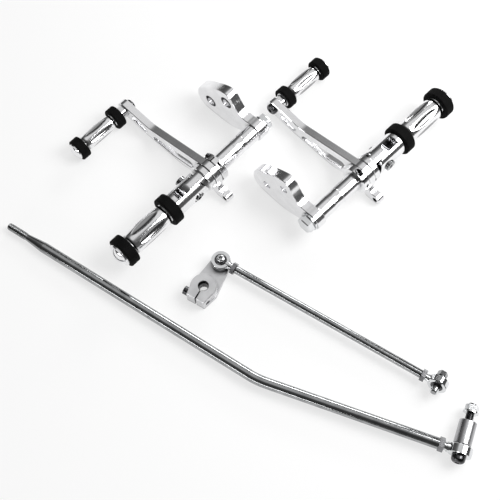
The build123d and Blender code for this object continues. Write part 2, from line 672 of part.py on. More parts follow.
def make_rod_end(roll, eye_diameter, eye_width, ball_diameter, thread, shank_length):
    """Rod end: an eye at the origin round a ball seat, its shank along X, rolled about X."""
    turn = math.radians(roll)
    bolt_direction = Vector(0, -math.sin(turn), math.cos(turn))
    eye_plane = Plane(origin=(0, 0, 0), x_dir=(1, 0, 0), z_dir=bolt_direction)
    with BuildPart() as rod_end:
        with BuildSketch(eye_plane):
            Circle(eye_diameter / 2)
        extrude(amount=eye_width / 2, both=True)
        chamfer(rod_end.edges().filter_by(GeomType.CIRCLE), EDGE_BREAK)
        with BuildSketch(Plane.YZ):
            Circle(thread / 2 * EYE_NECK_SHARE)
        extrude(amount=eye_diameter / 2 + EYE_NECK_RUN)
        with BuildSketch(Plane.YZ):
            Circle(thread / 2)
        extrude(amount=shank_length)
        Sphere(ball_diameter / 2 + RUNNING_GAP, mode=Mode.SUBTRACT)
        with BuildSketch(eye_plane):
            Circle(ball_diameter / 2 * EYE_MOUTH_SHARE)
        extrude(amount=eye_width, both=True, mode=Mode.SUBTRACT)
    return rod_end.part


def make_ball(roll, ball_diameter, ball_width, bore_diameter):
    """Ball of a rod end with its two flats and its bore."""
    turn = math.radians(roll)
    bolt_direction = Vector(0, -math.sin(turn), math.cos(turn))
    eye_plane = Plane(origin=(0, 0, 0), x_dir=(1, 0, 0), z_dir=bolt_direction)
    with BuildPart() as ball:
        Sphere(ball_diameter / 2)
        with BuildSketch(eye_plane):
            Circle(ball_diameter / 2)
        extrude(amount=ball_width / 2, both=True, mode=Mode.INTERSECT)
        with BuildSketch(eye_plane):
            Circle(bore_diameter / 2 + SEAT_GAP)
        extrude(amount=ball_width, both=True, mode=Mode.SUBTRACT)
    return ball.part


def make_nut(start, thickness, flats, bore):
    """Hex nut along X from start."""
    with BuildPart() as nut:
        with BuildSketch(Plane.YZ.offset(start)):
            RegularPolygon(flats / 2, 6, major_radius=False)
            Circle(bore / 2 + SEAT_GAP, mode=Mode.SUBTRACT)
        extrude(amount=thickness)
    return nut.part


def make_brake_rod():
    """Long bent rod with a taper to a threaded stub; its front end is bored for the rod end."""
    radius = BRAKE_ROD_DIAMETER / 2
    rod_start = BRAKE_NUT_TO_EYE + BRAKE_NUT_THICKNESS
    bend = math.radians(-BRAKE_BEND)
    rear_end = (BRAKE_FRONT_RUN + BRAKE_REAR_RUN * math.cos(bend), BRAKE_REAR_RUN * math.sin(bend))
    rear_plane = Plane(origin=(*rear_end, 0), x_dir=(0, 0, 1), z_dir=(math.cos(bend), math.sin(bend), 0))
    with BuildPart() as rod:
        with BuildLine(Plane.XY):
            FilletPolyline((rod_start, 0), (BRAKE_FRONT_RUN, 0), rear_end, radius=BRAKE_BEND_RADIUS)
        with BuildSketch(Plane.YZ.offset(rod_start)):
            Circle(radius)
        sweep()
        with BuildSketch(rear_plane):
            Circle(radius)
        with BuildSketch(rear_plane.offset(BRAKE_TAPER_LENGTH)):
            Circle(BRAKE_STUB_DIAMETER / 2)
        loft()
        with BuildSketch(rear_plane.offset(BRAKE_TAPER_LENGTH)):
            Circle(BRAKE_STUB_DIAMETER / 2)
        extrude(amount=BRAKE_STUB_LENGTH)
        chamfer(rod.edges().sort_by(Axis.X)[-1], EDGE_BREAK)
        with BuildSketch(Plane.YZ.offset(rod_start)):
            Circle(BRAKE_THREAD / 2 + SEAT_GAP)
        extrude(amount=BRAKE_NUT_TO_EYE + BORE_TAIL, mode=Mode.SUBTRACT)
    return rod.part


def make_brake_bolt():
    """Bolt through the brake rod end: head on the +Y side, shank through spacer and nut."""
    head_y = BRAKE_BALL_WIDTH / 2
    length = BRAKE_BALL_WIDTH + BRAKE_SPACER_LENGTH + BRAKE_BARE_BOLT + FLANGE_NUT_HEIGHT + BRAKE_BOLT_TAIL
    with BuildPart() as bolt:
        with BuildSketch(Plane.XZ.offset(-head_y)):
            Circle(BRAKE_HEAD_DIAMETER / 2)
        extrude(amount=-BRAKE_HEAD_HEIGHT)
        fillet(bolt.faces().sort_by(Axis.Y)[-1].edges(), BRAKE_HEAD_ROUNDING)
        with BuildSketch(Plane.XZ.offset(-head_y - BRAKE_HEAD_HEIGHT)):
            RegularPolygon(BRAKE_SOCKET_FLATS / 2, 6, major_radius=False)
        extrude(amount=BRAKE_HEAD_HEIGHT / 2, mode=Mode.SUBTRACT)
        with BuildSketch(Plane.XZ.offset(-head_y)):
            Circle(BRAKE_BOLT_DIAMETER / 2)
        extrude(amount=length)
    return bolt.part


def make_brake_spacer():
    with BuildPart() as spacer:
        with BuildSketch(Plane.XZ.offset(BRAKE_BALL_WIDTH / 2)):
            Circle(BRAKE_SPACER_DIAMETER / 2)
            Circle(BRAKE_BOLT_DIAMETER / 2 + SEAT_GAP, mode=Mode.SUBTRACT)
        extrude(amount=BRAKE_SPACER_LENGTH)
        chamfer(spacer.edges().filter_by(GeomType.CIRCLE), EDGE_BREAK)
    return spacer.part


def make_flange_nut():
    """Hex nut with a round flange, some way along the bare end of the bolt."""
    nut_y = BRAKE_BALL_WIDTH / 2 + BRAKE_SPACER_LENGTH + BRAKE_BARE_BOLT
    with BuildPart() as nut:
        with BuildSketch(Plane.XZ.offset(nut_y)):
            Circle(FLANGE_NUT_DIAMETER / 2)
        extrude(amount=FLANGE_NUT_HEIGHT / 5)
        with BuildSketch(Plane.XZ.offset(nut_y)):
            RegularPolygon(FLANGE_NUT_FLATS / 2, 6, major_radius=False)
        extrude(amount=FLANGE_NUT_HEIGHT)
        with BuildSketch(Plane.XZ.offset(nut_y)):
            Circle(BRAKE_BOLT_DIAMETER / 2 + SEAT_GAP)
        extrude(amount=FLANGE_NUT_HEIGHT, mode=Mode.SUBTRACT)
    return nut.part


def make_shift_rod():
    """Straight rod between the two jam nuts, bored at both ends."""
    start = SHIFT_NUT_TO_EYE + SHIFT_NUT_THICKNESS
    length = SHIFT_EYE_SPACING - 2 * start
    with BuildPart() as rod:
        with BuildSketch(Plane.YZ.offset(start)):
            Circle(SHIFT_ROD_DIAMETER / 2)
        extrude(amount=length)
        chamfer(rod.edges().filter_by(GeomType.CIRCLE), EDGE_BREAK)
        for end, inward in ((start, 1), (start + length, -1)):
            with BuildSketch(Plane.YZ.offset(end)):
                Circle(SHIFT_THREAD / 2 + SEAT_GAP)
            extrude(amount=inward * (SHIFT_NUT_TO_EYE + BORE_TAIL), mode=Mode.SUBTRACT)
    return rod.part


def front_plane(distance):
    """Plane across the front bolt of the shift rod, distance from the ball's middle to its hex."""
    turn = math.radians(FRONT_EYE_ROLL)
    direction = Vector(0, math.sin(turn), -math.cos(turn))
    origin = Vector(SHIFT_EYE_SPACING, 0, 0) + direction * distance
    return Plane(origin=origin, x_dir=(1, 0, 0), z_dir=direction)


def make_front_bolt():
    """Hex bolt through the front ball with a plain collar under its head."""
    hex_start = SHIFT_BALL_WIDTH / 2 + FRONT_SPACER_LENGTH
    tail = SHIFT_BALL_WIDTH / 2 + FRONT_NUT_LENGTH + FRONT_BOLT_TAIL
    with BuildPart() as bolt:
        with BuildSketch(front_plane(hex_start)):
            RegularPolygon(FRONT_HEX_FLATS / 2, 6, major_radius=False)
        extrude(amount=FRONT_HEX_HEIGHT)
        with BuildSketch(front_plane(SHIFT_BALL_WIDTH / 2)):
            Circle(FRONT_SPACER_DIAMETER / 2)
        extrude(amount=FRONT_SPACER_LENGTH)
        with BuildSketch(front_plane(-tail)):
            Circle(SHIFT_BOLT_DIAMETER / 2)
        extrude(amount=tail + SHIFT_BALL_WIDTH / 2)
    return bolt.part


def make_front_nut():
    """Round socket nut on the front bolt's near end."""
    with BuildPart() as nut:
        with BuildSketch(front_plane(-SHIFT_BALL_WIDTH / 2)):
            Circle(FRONT_NUT_DIAMETER / 2)
            Circle(SHIFT_BOLT_DIAMETER / 2 + SEAT_GAP, mode=Mode.SUBTRACT)
        extrude(amount=-FRONT_NUT_LENGTH)
    return nut.part


def make_lever_stud():
    """Button-head screw through the rear ball into the lever's tab."""
    with BuildPart() as stud:
        with BuildSketch(Plane.XY.offset(SHIFT_BALL_WIDTH / 2)):
            Circle(STUD_HEAD_DIAMETER / 2)
        extrude(amount=STUD_HEAD_HEIGHT)
        fillet(stud.faces().sort_by(Axis.Z)[-1].edges(), STUD_HEAD_ROUNDING)
        with BuildSketch(Plane.XY.offset(SHIFT_BALL_WIDTH / 2 + STUD_HEAD_HEIGHT)):
            RegularPolygon(STUD_SOCKET_FLATS / 2, 6, major_radius=False)
        extrude(amount=-STUD_HEAD_HEIGHT / 2, mode=Mode.SUBTRACT)
        with BuildSketch(Plane.XY.offset(SHIFT_BALL_WIDTH / 2)):
            Circle(SHIFT_BOLT_DIAMETER / 2)
        extrude(amount=-SHIFT_BALL_WIDTH - LEVER_TAB_THICKNESS)
    return stud.part


def make_clamp_lever():
    """Lever for the shift shaft: a slit boss with a bore and a thin tab for the rod end."""
    with BuildPart(Plane.XY.offset(LEVER_BOSS_THICKNESS)) as lever:
        with BuildSketch(Plane.XY):
            with BuildLine():
                Polyline((-LEVER_END, LEVER_END_HALF_WIDTH), (0, LEVER_HALF_WIDTH),
                         (LEVER_LENGTH, LEVER_TIP_RADIUS), (LEVER_LENGTH, -LEVER_TIP_RADIUS),
                         (0, -LEVER_HALF_WIDTH), (-LEVER_END, -LEVER_END_HALF_WIDTH), close=True)
            make_face()
            with Locations((LEVER_LENGTH, 0)):
                Circle(LEVER_TIP_RADIUS)
        extrude(amount=LEVER_TAB_THICKNESS)
        with BuildSketch(Plane.XY):
            with BuildLine():
                Polyline((-LEVER_END, LEVER_END_HALF_WIDTH), (0, LEVER_BOSS_RADIUS),
                         (0, -LEVER_BOSS_RADIUS), (-LEVER_END, -LEVER_END_HALF_WIDTH), close=True)
            make_face()
            Circle(LEVER_BOSS_RADIUS)
        extrude(amount=LEVER_BOSS_THICKNESS)
        chamfer(lever.faces().sort_by(Axis.Z)[-1].edges(), EDGE_BREAK)
        Hole(LEVER_BORE_DIAMETER / 2)
        with BuildSketch(Plane.XY):
            Rectangle(LEVER_END + LEVER_BORE_DIAMETER, LEVER_SLIT, align=(Align.MAX, Align.CENTER))
        extrude(amount=LEVER_BOSS_THICKNESS, mode=Mode.SUBTRACT)
        with Locations((LEVER_LENGTH, 0)):
            Hole(SHIFT_BOLT_DIAMETER / 2 + SEAT_GAP)
        with BuildSketch(Plane.XZ):
            with Locations((-PINCH_TO_BORE, LEVER_BOSS_THICKNESS / 2)):
                Circle(PINCH_DIAMETER / 2 + RUNNING_GAP)
        extrude(amount=2 * LEVER_HALF_WIDTH, both=True, mode=Mode.SUBTRACT)
        with BuildSketch(Plane.XZ.offset(-LEVER_END_HALF_WIDTH)):
            with Locations((-PINCH_TO_BORE, LEVER_BOSS_THICKNESS / 2)):
                Circle(PINCH_HEAD_DIAMETER / 2 + SIDE_PLAY)
        extrude(amount=-LEVER_HALF_WIDTH, mode=Mode.SUBTRACT)
    return lever.part


def make_pinch_screw():
    """Cap screw across the lever's slit."""
    with BuildPart() as screw:
        with BuildSketch(Plane.XZ.offset(-LEVER_END_HALF_WIDTH)):
            with Locations((-PINCH_TO_BORE, LEVER_BOSS_THICKNESS / 2)):
                Circle(PINCH_HEAD_DIAMETER / 2)
        extrude(amount=-PINCH_HEAD_HEIGHT)
        with BuildSketch(Plane.XZ.offset(-LEVER_END_HALF_WIDTH - PINCH_HEAD_HEIGHT)):
            with Locations((-PINCH_TO_BORE, LEVER_BOSS_THICKNESS / 2)):
                RegularPolygon(PINCH_HEAD_DIAMETER / 4, 6, major_radius=False)
        extrude(amount=PINCH_HEAD_HEIGHT / 2, mode=Mode.SUBTRACT)
        with BuildSketch(Plane.XZ.offset(-LEVER_END_HALF_WIDTH)):
            with Locations((-PINCH_TO_BORE, LEVER_BOSS_THICKNESS / 2)):
                Circle(PINCH_DIAMETER / 2)
        extrude(amount=2 * LEVER_END_HALF_WIDTH)
    return screw.part


# the two controls
for side in ("left", "right"):
    save_control(make_mount_plate(), side, "mount_plate")
    save_control(make_hex_bolt(), side, "hex_bolt")
    save_control(make_washer(), side, "washer")
    save_control(make_shaft(), side, "shaft")
    save_control(make_clamp_collar(side), side, "clamp_collar")
    save_control(make_collar_screw(side), side, "collar_screw")
    save_control(make_pedal_arm(), side, "pedal_arm")
    save_control(make_pedal_bushing(), side, "pedal_bushing")
    save_control(make_foot_peg(), side, "foot_peg")
    foot_rings = make_rings(Axis.X, (inner_ring_x, outer_ring_x), FOOT_RING_WIDTH,
                            FOOT_RING_DIAMETER / 2, FOOT_CORE_DIAMETER / 2 + SEAT_GAP)
    save_control(foot_rings, side, "foot_peg_rings")
    save_control(make_cap(Axis.X, foot_cap_x, FOOT_CAP_DIAMETER, FOOT_CAP_LENGTH), side, "foot_peg_cap")
    save_control(make_fold_pin(side), side, "fold_pin")
    save_control(make_toe_peg(), side, "toe_peg")
    toe_rings = make_rings(toe_axis, (toe_inner_ring_x, toe_outer_ring_x), TOE_RING_WIDTH,
                           TOE_RING_DIAMETER / 2, TOE_CORE_DIAMETER / 2 + SEAT_GAP)
    save_control(toe_rings, side, "toe_peg_rings")
    save_control(make_cap(toe_axis, toe_cap_x, TOE_CAP_DIAMETER, TOE_CAP_LENGTH), side, "toe_peg_cap")
    save_control(make_toe_screw(), side, "toe_peg_screw")

# the brake rod; its bolt lies level, across the rod
brake_shank = BRAKE_NUT_TO_EYE + BRAKE_NUT_THICKNESS + BRAKE_NUT_TO_EYE
save(BRAKE_PLACE * make_brake_rod(), "brake_rod")
save(BRAKE_PLACE * make_nut(BRAKE_NUT_TO_EYE, BRAKE_NUT_THICKNESS, BRAKE_NUT_FLATS, BRAKE_THREAD),
     "brake_jam_nut")
save(BRAKE_PLACE * make_rod_end(90, BRAKE_EYE_DIAMETER, BRAKE_EYE_WIDTH, BRAKE_BALL_DIAMETER,
                                BRAKE_THREAD, brake_shank), "brake_rod_end")
save(BRAKE_PLACE * make_ball(90, BRAKE_BALL_DIAMETER, BRAKE_BALL_WIDTH, BRAKE_BOLT_DIAMETER),
     "brake_ball")
save(BRAKE_PLACE * make_brake_bolt(), "brake_bolt")
save(BRAKE_PLACE * make_brake_spacer(), "brake_spacer")
save(BRAKE_PLACE * make_flange_nut(), "brake_flange_nut")

# the shift rod with its two rod ends
shift_shank = SHIFT_NUT_TO_EYE + SHIFT_NUT_THICKNESS + SHIFT_NUT_TO_EYE
front_turn = Pos(SHIFT_EYE_SPACING, 0, 0) * Rot(0, 0, 180)
rear_nut = make_nut(SHIFT_NUT_TO_EYE, SHIFT_NUT_THICKNESS, SHIFT_NUT_FLATS, SHIFT_THREAD)
rear_end = make_rod_end(0, SHIFT_EYE_DIAMETER, SHIFT_EYE_WIDTH, SHIFT_BALL_DIAMETER, SHIFT_THREAD,
                        shift_shank)
front_end = make_rod_end(-FRONT_EYE_ROLL, SHIFT_EYE_DIAMETER, SHIFT_EYE_WIDTH, SHIFT_BALL_DIAMETER,
                         SHIFT_THREAD, shift_shank)
rear_ball = make_ball(0, SHIFT_BALL_DIAMETER, SHIFT_BALL_WIDTH, SHIFT_BOLT_DIAMETER)
front_ball = make_ball(-FRONT_EYE_ROLL, SHIFT_BALL_DIAMETER, SHIFT_BALL_WIDTH, SHIFT_BOLT_DIAMETER)
save(SHIFT_PLACE * make_shift_rod(), "shift_rod")
save(SHIFT_PLACE * rear_nut, "shift_jam_nut_rear")
save(SHIFT_PLACE * (front_turn * rear_nut), "shift_jam_nut_front")
save(SHIFT_PLACE * rear_end, "shift_rod_end_rear")
save(SHIFT_PLACE * (front_turn * front_end), "shift_rod_end_front")
save(SHIFT_PLACE * rear_ball, "shift_ball_rear")
save(SHIFT_PLACE * (front_turn * front_ball), "shift_ball_front")
save(SHIFT_PLACE * make_front_bolt(), "shift_bolt_front")
save(SHIFT_PLACE * make_front_nut(), "shift_nut_front")
save(SHIFT_PLACE * make_lever_stud(), "lever_stud")
save(LEVER_PLACE * make_clamp_lever(), "clamp_lever")
save(LEVER_PLACE * make_pinch_screw(), "lever_pinch_screw")
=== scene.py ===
import json
import math
from collections import namedtuple

import bmesh
import bpy
from mathutils import Matrix, Vector


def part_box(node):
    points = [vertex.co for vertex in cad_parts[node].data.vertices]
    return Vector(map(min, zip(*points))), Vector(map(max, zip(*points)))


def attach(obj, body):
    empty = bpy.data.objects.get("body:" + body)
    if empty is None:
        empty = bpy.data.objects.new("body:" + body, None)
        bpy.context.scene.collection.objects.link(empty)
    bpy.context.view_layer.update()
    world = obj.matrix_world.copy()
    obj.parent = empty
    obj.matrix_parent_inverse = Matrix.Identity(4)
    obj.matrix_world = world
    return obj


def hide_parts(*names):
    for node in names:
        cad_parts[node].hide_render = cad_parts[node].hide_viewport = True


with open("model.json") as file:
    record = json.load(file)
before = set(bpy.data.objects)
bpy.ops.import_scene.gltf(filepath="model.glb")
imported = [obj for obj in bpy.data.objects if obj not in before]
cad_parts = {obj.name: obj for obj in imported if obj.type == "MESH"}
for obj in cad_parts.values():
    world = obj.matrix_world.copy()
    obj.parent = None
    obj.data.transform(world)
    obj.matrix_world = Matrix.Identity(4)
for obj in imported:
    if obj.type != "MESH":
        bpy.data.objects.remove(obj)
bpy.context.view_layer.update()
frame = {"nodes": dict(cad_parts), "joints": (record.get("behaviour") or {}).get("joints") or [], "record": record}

MM = 0.001
UP = Vector((0, 0, 1))
FULL_TURN = 2 * math.pi
SIDES = ("left", "right")
JOINTS = {joint["name"]: joint for joint in frame["joints"]}
MOUNTS = {mount["name"]: mount for mount in frame["record"]["mounts"]}

# The camera looks down on the table as in the photograph.
CAMERA_TARGET = Vector((18.91, -2.66, 0.0)) * MM
CAMERA_DISTANCE = 1071.6 * MM
CAMERA_ELEVATION = math.radians(66.71)
CAMERA_LENS = 66.1
CAMERA_SENSOR = 36
CAMERA_FAR = 50

# Area lamps in metres and watts.
Lamp = namedtuple("Lamp", "name place target size power")
LAMPS = [
    Lamp("key", (1.0, 0.15, 1.1), (0.05, 0, 0), (0.9, 0.9), 24),
    Lamp("back", (0.45, 1.25, 0.55), (0, 0, 0), (0.7, 0.3), 7),
    Lamp("front", (-0.9, -1.2, 0.35), (0, 0, 0), (1.2, 0.16), 4),
]

# The studio: a cloth that flat tops mirror to the camera, and walls that fall off to dark.
# Each ring is how closely a direction points at the cloth, and its brightness.
CLOTH_DIRECTION = Vector((0.0, 0.39, 0.92)).normalized()
WORLD_STRENGTH = 1.0
WORLD_RINGS = [(0.0, 0.1), (0.35, 0.06), (0.7, 0.1), (0.86, 0.22), (0.93, 0.7), (1.0, 0.75)]

# The table lies a little below the part, and part of its white is its own.
FLOOR_SIZE = 12.0
FLOOR_HEIGHT = -0.2 * MM
FLOOR_COLOR = 0.93
FLOOR_ROUGHNESS = 0.9
FLOOR_SPECULAR = 0.1
FLOOR_GLOW = 1.0
FLOOR_OWN_WHITE = 0.7

# Threads that the solids leave plain; the profile's half widths are shares of the pitch.
THREAD_PITCH = 1.25 * MM
THREAD_DEPTH = 0.45 * MM
THREAD_SINK = 0.1 * MM
THREAD_ROOT_HALF = 0.46
THREAD_CREST_HALF = 0.08
THREAD_STEPS_A_TURN = 24
THREAD_FADE_STEPS = 12
STUB_THREAD_SETBACK = 1 * MM
BRAKE_BOLT_RADIUS = 4 * MM

# Splines in the lever's bore; a tooth's half widths are shares of its pitch.
SPLINE_COUNT = 36
SPLINE_DEPTH = 0.8 * MM
SPLINE_LINING = 0.05 * MM
SPLINE_ROOT_DEPTH = 0.12 * MM
SPLINE_TOP_GAP = 0.1 * MM
SPLINE_ROOT_HALF = 0.4
SPLINE_CREST_HALF = 0.12
LEVER_SLIT_TURN = math.radians(240)
SLIT_HALF_ANGLE = 0.15

# Shallow hollow over the shaft's waist; it starts a distance from the collar toward the plate.
SHAFT_RADIUS = 11.0 * MM
SCOOP_START = 26.6 * MM
SCOOP_LENGTH = 15.8 * MM
SCOOP_DEPTH = 0.45 * MM
SCOOP_INSIDE = 8.6 * MM
SCOOP_STEPS = 24
LATHE_STEPS = 96

# The mount plate in its own plane, in millimetres from the shaft's axis, away from it and up.
PLATE_OUTLINE = [(-2, 13.4), (6, 12.2), (12, 11.2), (18, 12), (24, 15.5), (29.5, 22), (34, 28.5),
                 (38.5, 33.5), (44, 35.4), (51, 33.2), (62, 26.6), (75, 17.5), (85, 9), (90.5, 2),
                 (92.8, -6), (92.6, -15), (88.5, -23), (80, -27.8), (70, -28.8), (55, -28.8),
                 (42, -27.6), (32, -25), (22, -20.5), (10, -15.8), (-2, -13.4), (-9, -10),
                 (-13.2, -3), (-13, 4), (-8.5, 10.4)]
PLATE_CURVE_STEPS = 5
PLATE_HOLES_MIDDLE = Vector((57.2, 5.2))
PLATE_HOLE_SPACING = 36.2
PLATE_HOLE_ANGLE = math.radians(137)
PLATE_COUNTERBORE = 8.25
PLATE_HOLE = 5.25
PLATE_BOLT_HOLE = 6.4
PLATE_HOLE_STEPS = 48
PLATE_COUNTERBORE_DEPTH = 6.0 * MM
PLATE_EDGE_BREAK = 0.6 * MM
PLATE_SHARP_ANGLE = math.radians(25)

# Barrels of the pegs in millimetres: half the length, radius at the ends and at the crown,
# depth and width of the scooped flutes.
Barrel = namedtuple("Barrel", "kind body half core crown flute_depth flute_width")
PEG_BARRELS = [
    Barrel("_foot_peg", "_peg", 28.75, 13.0, 14.5, 2.6, 11.5),
    Barrel("_toe_peg", "_pedal", 23.75, 9.25, 10.25, 1.9, 8.4),
]
FLUTES = 6
FLUTE_RUN = 0.84
FLUTE_TURN = {"left": math.radians(-16), "right": 0.0}
FLUTE_EDGE_ROUNDING = 0.02
FLUTE_ROUNDING_REACH = 1
NECK_SHARE = 0.94
NECK_DEPTH_SHARE = 0.08
NECK_WIDTH = 1.7
BARREL_STEPS_AROUND = 180
BARREL_STEPS_ALONG = 80
BARREL_END_SLACK = 0.05
BARREL_CORE_SLACK = 0.3
BARREL_SHADED_SHARE = 0.97
PEG_SHARP_ANGLE = math.radians(35)

# Painted shade: darkening by the depth below the barrel's outline in millimetres, in the flutes, and by the room
# above a surface, in crevices, slots and near the table.
PAINTED_FLUTE_SHADES = [(0.1, 1.0), (0.8, 0.4)]
PAINTED_CREVICE_SHADES = [(0.2, 0.05), (0.75, 1.0)]
PAINTED_SHADE_REACH = 8.0 * MM
PAINTED_SHADE_SAMPLES = 6

# Sizes of the finishes' patterns in millimetres, and the stretch of a noise that counts.
NOISE_LOW, NOISE_HIGH = 0.3, 0.7
METAL_PATCHES, METAL_MARKS, METAL_GRAIN = 14.0, 1.6, 0.7
METAL_PATCH_LOW, METAL_PATCH_HIGH = 0.35, 0.65
METAL_RELIEF = 0.02 * MM
RUBBER_PATCHES, RUBBER_GRAIN = 9.0, 0.5
RUBBER_SHADES = [(0.3, 0.0015), (0.75, 0.004)]
RUBBER_SPECULAR = 0.1
RUBBER_ROUGHNESS = (0.7, 0.9)
RUBBER_BUMP = 0.35
RUBBER_RELIEF = 0.1 * MM

Metal = namedtuple("Metal", "dark light rough_low rough_high bump")
SLOT_METALS = {
    "polished_aluminium": Metal((0.83, 0.83, 0.84), (0.89, 0.89, 0.9), 0.1, 0.18, 0.12),
    "plated_steel": Metal((0.28, 0.285, 0.29), (0.38, 0.385, 0.39), 0.1, 0.2, 0.08),
    "dark_steel": Metal((0.05, 0.05, 0.052), (0.11, 0.11, 0.115), 0.14, 0.26, 0.15),
    "bronze": Metal((0.52, 0.36, 0.18), (0.66, 0.48, 0.26), 0.22, 0.34, 0.15),
}
FINISH_METALS = {
    "brushed_aluminium": Metal((0.6, 0.6, 0.61), (0.7, 0.7, 0.71), 0.3, 0.42, 0.3),
    "brushed_steel": Metal((0.36, 0.36, 0.37), (0.46, 0.46, 0.47), 0.26, 0.38, 0.3),
    "bright_steel": Metal((0.7, 0.71, 0.72), (0.8, 0.81, 0.82), 0.08, 0.16, 0.08),
    "gunmetal": Metal((0.16, 0.16, 0.165), (0.26, 0.26, 0.27), 0.16, 0.26, 0.12),
}
# Nodes whose finish differs from the rest of their slot.
FINISH_NODES = {
    "brushed_aluminium": ["clamp_lever"],
    "brushed_steel": ["brake_spacer"],
    "bright_steel": ["lever_stud", "left_hex_bolt", "right_hex_bolt", "left_washer", "right_washer",
                     "brake_rod_end", "brake_flange_nut", "shift_rod_end_rear",
                     "shift_rod_end_front", "shift_nut_front"],
    "gunmetal": ["brake_jam_nut", "shift_jam_nut_rear", "shift_jam_nut_front"],
}


# Materials

def gray(brightness):
    """A neutral colour."""
    return (brightness, brightness, brightness)


def gray_steps(shades):
    """Places of a ramp with their brightness turned into colours."""
    return [(place, gray(brightness)) for place, brightness in shades]


def new_material(name):
    """A material with its tree, its shader and the object's own coordinates in millimetres."""
    material = bpy.data.materials.new(name)
    material.use_nodes = True
    tree = material.node_tree
    coordinates = tree.nodes.new("ShaderNodeTexCoord")
    scale = tree.nodes.new("ShaderNodeMapping")
    scale.inputs["Scale"].default_value = gray(1 / MM)
    tree.links.new(coordinates.outputs["Object"], scale.inputs["Vector"])
    return material, tree, tree.nodes["Principled BSDF"], scale.outputs["Vector"]


def add_step(tree, kind, operation, operands, output):
    """One node of arithmetic; each operand is a constant or another node's result."""
    step = tree.nodes.new(kind)
    step.operation = operation
    for socket, operand in zip(step.inputs, operands):
        if isinstance(operand, bpy.types.NodeSocket):
            tree.links.new(operand, socket)
        else:
            socket.default_value = operand
    return step.outputs[output]


def add_math(tree, operation, *operands):
    """Arithmetic on numbers."""
    return add_step(tree, "ShaderNodeMath", operation, operands, "Value")


def add_vector_math(tree, operation, *operands):
    """Arithmetic on vectors; a dot product and a length give a number."""
    output = "Value" if operation in ("DOT_PRODUCT", "LENGTH") else "Vector"
    return add_step(tree, "ShaderNodeVectorMath", operation, operands, output)


def add_noise(tree, vector, size, detail):
    """Cloudy pattern whose patches are about size millimetres across."""
    noise = tree.nodes.new("ShaderNodeTexNoise")
    noise.inputs["Scale"].default_value = 1 / size
    noise.inputs["Detail"].default_value = detail
    tree.links.new(vector, noise.inputs["Vector"])
    return noise.outputs["Fac"]


def add_range(tree, noise, low, high):
    """A noise stretched to run from low to high."""
    span = tree.nodes.new("ShaderNodeMapRange")
    span.inputs["From Min"].default_value = NOISE_LOW
    span.inputs["From Max"].default_value = NOISE_HIGH
    span.inputs["To Min"].default_value = low
    span.inputs["To Max"].default_value = high
    tree.links.new(noise, span.inputs["Value"])
    return span.outputs["Result"]


def add_ramp(tree, value, colors):
    """Colours along a value, each with its place."""
    ramp = tree.nodes.new("ShaderNodeValToRGB")
    elements = ramp.color_ramp.elements
    while len(elements) < len(colors):
        elements.new(0.5)
    for element, (place, color) in zip(elements, colors):
        element.position = place
        element.color = (*color, 1)
    tree.links.new(value, ramp.inputs["Fac"])
    return ramp.outputs["Color"]


def add_product(tree, first, second):
    """Two colours multiplied."""
    product = tree.nodes.new("ShaderNodeMix")
    product.data_type = "RGBA"
    product.blend_type = "MULTIPLY"
    product.inputs["Factor"].default_value = 1.0
    tree.links.new(first, product.inputs["A"])
    tree.links.new(second, product.inputs["B"])
    return product.outputs["Result"]


def add_bump(tree, shader, height, strength, distance):
    """Fine relief on a shader."""
    bump = tree.nodes.new("ShaderNodeBump")
    bump.inputs["Strength"].default_value = strength
    bump.inputs["Distance"].default_value = distance
    tree.links.new(height, bump.inputs["Height"])
    tree.links.new(bump.outputs["Normal"], shader.inputs["Normal"])


def add_painted_crevice_shade(tree, color):
    """Painted shade: darken a colour where the surface lies deep between others, as slots and seams do, and where
    it lies close to the table.
    """
    occlusion = tree.nodes.new("ShaderNodeAmbientOcclusion")
    occlusion.samples = PAINTED_SHADE_SAMPLES
    occlusion.inputs["Distance"].default_value = PAINTED_SHADE_REACH
    return add_product(tree, color, add_ramp(tree, occlusion.outputs["AO"], gray_steps(PAINTED_CREVICE_SHADES)))


def add_painted_flute_shade(tree, vector, color, barrel, middle, axis):
    """Painted shade: darken a colour where the surface lies below the barrel's own crowned outline, in place of
    the flutes' dark reflections.
    """
    offset = add_vector_math(tree, "SUBTRACT", vector, middle)
    along = add_vector_math(tree, "DOT_PRODUCT", offset, axis)
    away = add_vector_math(tree, "LENGTH", offset)
    along_squared = add_math(tree, "POWER", add_math(tree, "ABSOLUTE", along), 2)
    away_squared = add_math(tree, "POWER", away, 2)
    reach = add_math(tree, "SQRT", add_math(tree, "SUBTRACT", away_squared, along_squared))
    fall = add_math(tree, "MULTIPLY", along_squared, (barrel.crown - barrel.core) / barrel.half ** 2)
    outline = add_math(tree, "SUBTRACT", barrel.crown, fall)
    depth = add_math(tree, "SUBTRACT", outline, reach)
    inside = add_math(tree, "LESS_THAN", along_squared, (BARREL_SHADED_SHARE * barrel.half) ** 2)
    painted_shade = add_ramp(tree, add_math(tree, "MULTIPLY", depth, inside), gray_steps(PAINTED_FLUTE_SHADES))
    return add_product(tree, color, painted_shade)


